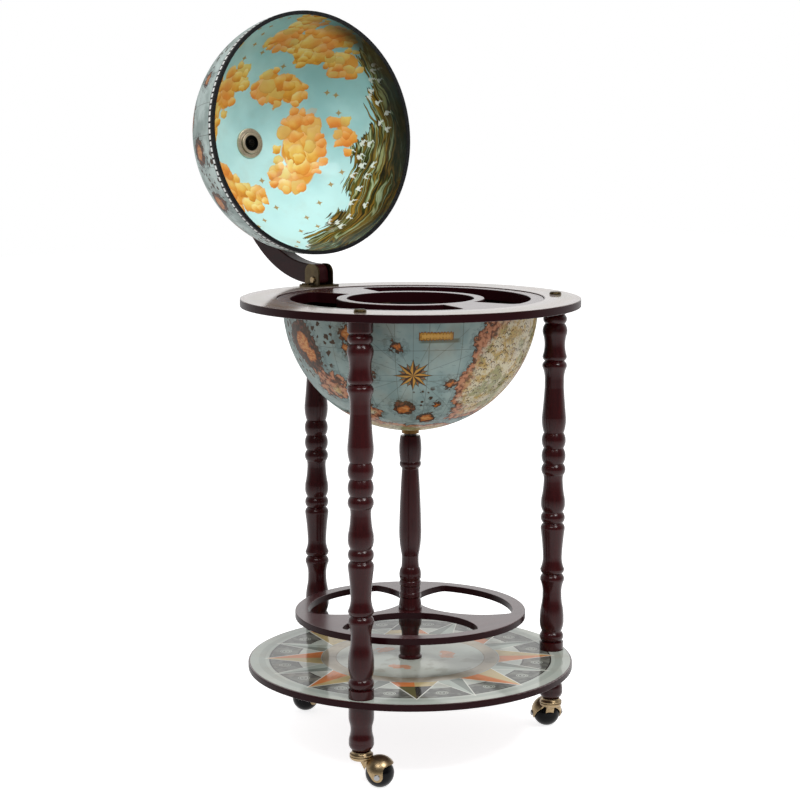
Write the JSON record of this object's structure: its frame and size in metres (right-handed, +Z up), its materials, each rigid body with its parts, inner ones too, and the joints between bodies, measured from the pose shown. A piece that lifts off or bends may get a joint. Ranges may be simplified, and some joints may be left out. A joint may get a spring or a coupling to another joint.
{
  "type": "globe bar trolley",
  "caption": "Floor-standing drinks trolley shaped as a globe: the hinged upper half opens over a round bar tray, above a bottle ring and a shelf on turned legs with casters.",
  "frame": {"origin": "on the floor, on the vertical axis of the horizon ring, the shelf and the centre post", "axes": "+Z up; +Y from the axis to the lid's hinge; the lid is open at rest"},
  "size_m": [0.4499, 0.6578, 0.9856],
  "materials": {
    "mahogany": "dark mahogany stain under satin lacquer",
    "ring_paper": "printed paper under gloss lacquer",
    "shelf_paper": "printed paper under gloss lacquer",
    "globe_paper": "printed paper on a moulded shell, gloss lacquer",
    "black_edging": "black edging strip",
    "brass": "plain brass",
    "antique_brass": "antique brass plating",
    "steel": "zinc plated",
    "black_rubber": "smooth hard rubber"
  },
  "bodies": {
    "stand": {"bar_tray": "mahogany", "bottle_ring": "mahogany", "bowl_bolt": "steel", "bowl_foot_washer": "brass", "bowl_inner_washer": "steel", "caster_socket_back": "antique_brass", "caster_socket_left": "antique_brass", "caster_socket_right": "antique_brass", "foot_back": "mahogany", "foot_left": "mahogany", "foot_right": "mahogany", "globe_bowl": "globe_paper", "hinge_bracket": "antique_brass", "hinge_leg_screw": "steel", "hinge_pin": "antique_brass", "hinge_pin_nut": "antique_brass", "hinge_screws": "antique_brass", "horizon_ring": "mahogany", "leg_back": "mahogany", "leg_dowel_screws": "steel", "leg_left": "mahogany", "leg_right": "mahogany", "post_dowel_screw": "steel", "post_foot_screw": "steel", "post_lower": "mahogany", "post_upper": "mahogany", "ring_cap_screws": "antique_brass", "ring_print": "ring_paper", "shelf": "mahogany", "shelf_print": "shelf_paper"},
    "lid": {"lid_shell": "globe_paper", "lid_rim_strip": "black_edging", "lid_arm": "mahogany", "lid_pole_spacer": "mahogany", "lid_pole_boss": "antique_brass", "lid_pole_bolt": "antique_brass", "lid_pole_washer": "antique_brass", "lid_pole_nut": "antique_brass"},
    "caster_back": {"caster_hood_back": "antique_brass", "caster_stem_back": "steel", "caster_axle_back": "steel"},
    "wheel_back": {"caster_ball_back": "black_rubber"},
    "caster_left": {"caster_hood_left": "antique_brass", "caster_stem_left": "steel", "caster_axle_left": "steel"},
    "wheel_left": {"caster_ball_left": "black_rubber"},
    "caster_right": {"caster_hood_right": "antique_brass", "caster_stem_right": "steel", "caster_axle_right": "steel"},
    "wheel_right": {"caster_ball_right": "black_rubber"}
  },
  "joints": [
    {"name": "lid_hinge", "type": "hinge", "parent": "stand", "child": "lid", "pos_m": [0, 0.2035, 0.6144], "axis": [1, 0, 0], "range_deg": [0, 96]},
    {"name": "swivel_back", "type": "hinge", "parent": "stand", "child": "caster_back", "pos_m": [-0.01247, 0.19821, 0.036], "axis": [0, 0, 1], "continuous": true},
    {"name": "wheel_back", "type": "hinge", "parent": "caster_back", "child": "wheel_back", "pos_m": [-0.03605, 0.19585, 0.0184], "axis": [0.0993, -0.9951, 0], "continuous": true},
    {"name": "swivel_left", "type": "hinge", "parent": "stand", "child": "caster_left", "pos_m": [-0.16542, -0.1099, 0.036], "axis": [0, 0, 1], "continuous": true},
    {"name": "wheel_left", "type": "hinge", "parent": "caster_left", "child": "wheel_left", "pos_m": [-0.14953, -0.12749, 0.0184], "axis": [0.742, 0.6704, 0], "continuous": true},
    {"name": "swivel_right", "type": "hinge", "parent": "stand", "child": "caster_right", "pos_m": [0.17789, -0.0883, 0.036], "axis": [0, 0, 1], "continuous": true},
    {"name": "wheel_right", "type": "hinge", "parent": "caster_right", "child": "wheel_right", "pos_m": [0.18912, -0.06744, 0.0184], "axis": [-0.8805, 0.4741, 0], "continuous": true}
  ]
}
